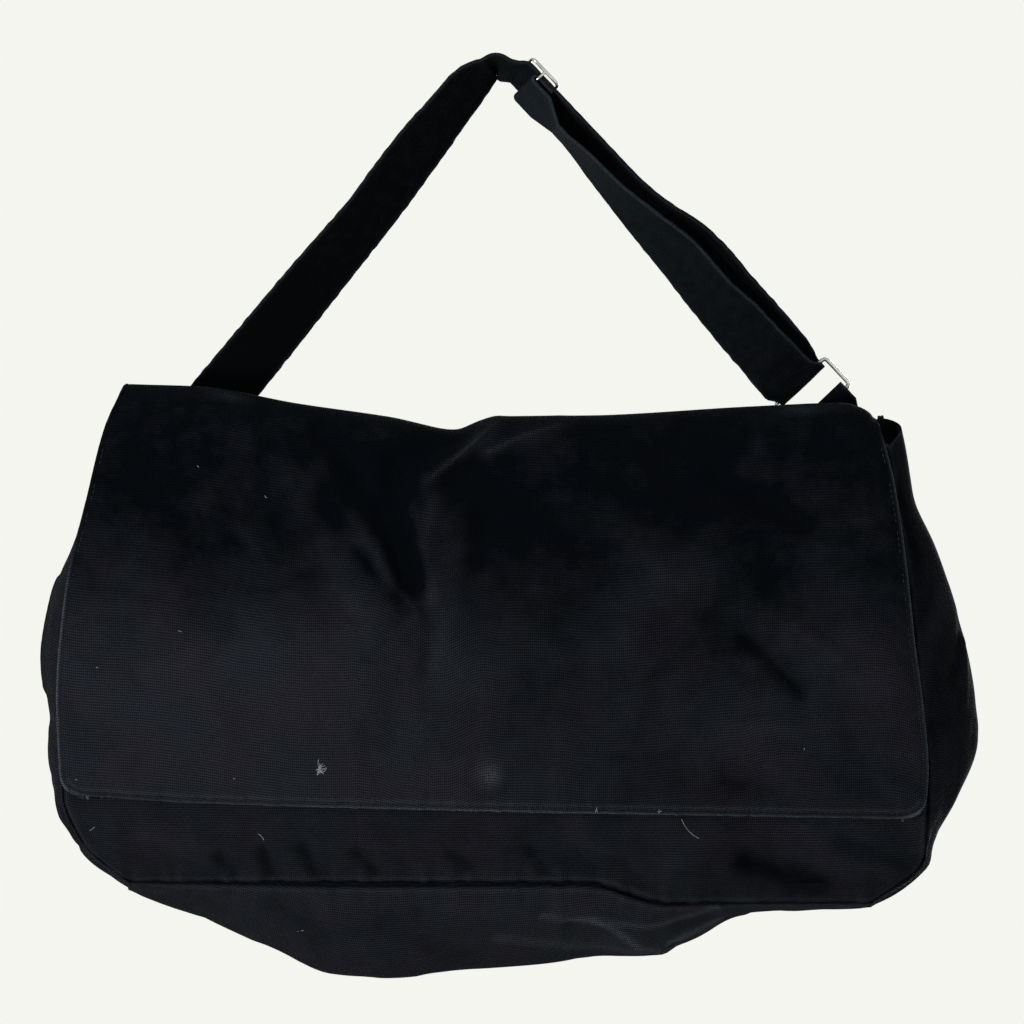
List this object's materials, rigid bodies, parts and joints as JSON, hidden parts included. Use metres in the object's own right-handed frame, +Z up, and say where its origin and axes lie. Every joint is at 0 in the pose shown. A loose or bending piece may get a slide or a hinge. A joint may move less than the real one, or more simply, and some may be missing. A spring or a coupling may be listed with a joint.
{
  "type": "messenger bag",
  "caption": "Cotton canvas messenger bag with a fold-over flap, a magnetic snap and a webbing shoulder strap with a slider and a rectangular ring, hung by its strap.",
  "frame": {"origin": "hang point: the underside of the strap where it lies over a hook, in the strap's plane", "axes": "+Z up along the hanging direction, the flap and front panel face -Y, +X to the right seen from the front"},
  "size_m": [0.5111, 0.1289, 0.4985],
  "materials": {
    "canvas": "ribbed black cotton canvas, worn paler along its edges",
    "lining": "plain black cotton",
    "webbing": "black cotton webbing",
    "nickel": "nickel-plated steel"
  },
  "bodies": {
    "strap": {"strap_webbing": "webbing", "strap_return_layer": "webbing", "ring_tab": "webbing"},
    "ring": {"rectangular_ring": "nickel"},
    "slider": {"slider_frame": "nickel"},
    "bag": {"left_strap_anchor": "webbing", "right_tab_anchor": "webbing", "left_anchor_patch": "canvas", "right_anchor_patch": "canvas", "front_panel": "canvas", "back_panel": "canvas", "left_gusset": "canvas", "base_panel": "canvas", "right_gusset": "canvas", "mouth_facing": "canvas", "front_seam_binding": "lining", "back_seam_binding": "lining", "body_snap_socket": "nickel", "body_snap_washer": "nickel"},
    "flap_top": {"flap_top_outer": "canvas", "flap_top_lining": "lining"},
    "flap_front": {"flap_front_outer": "canvas", "flap_front_lining": "lining", "flap_snap_stud": "nickel", "flap_snap_washer": "nickel"}
  },
  "joints": [
    {"name": "bag_swing", "type": "hinge", "parent": "strap", "child": "bag", "pos_m": [0, 0, -0.192], "axis": [1, 0, 0], "range_deg": [-15, 30]},
    {"name": "flap_top_lift", "type": "hinge", "parent": "bag", "child": "flap_top", "pos_m": [0, -0.0063, -0.2047], "axis": [-1, 0, 0], "range_deg": [0, 20]},
    {"name": "flap_front_lift", "type": "hinge", "parent": "flap_top", "child": "flap_front", "pos_m": [0, -0.047, -0.2082], "axis": [-1, 0, 0], "range_deg": [0, 120]},
    {"name": "ring_tilt", "type": "hinge", "parent": "strap", "child": "ring", "pos_m": [0.1655, 0, -0.17157], "axis": [0.7278, 0, 0.6858], "range_deg": [-3, 3]},
    {"name": "slider_slide", "type": "slide", "parent": "strap", "child": "slider", "axis": [0.6858, 0, -0.7278], "range_m": [0, 0.06], "deforming": ["strap_return_layer"]}
  ]
}
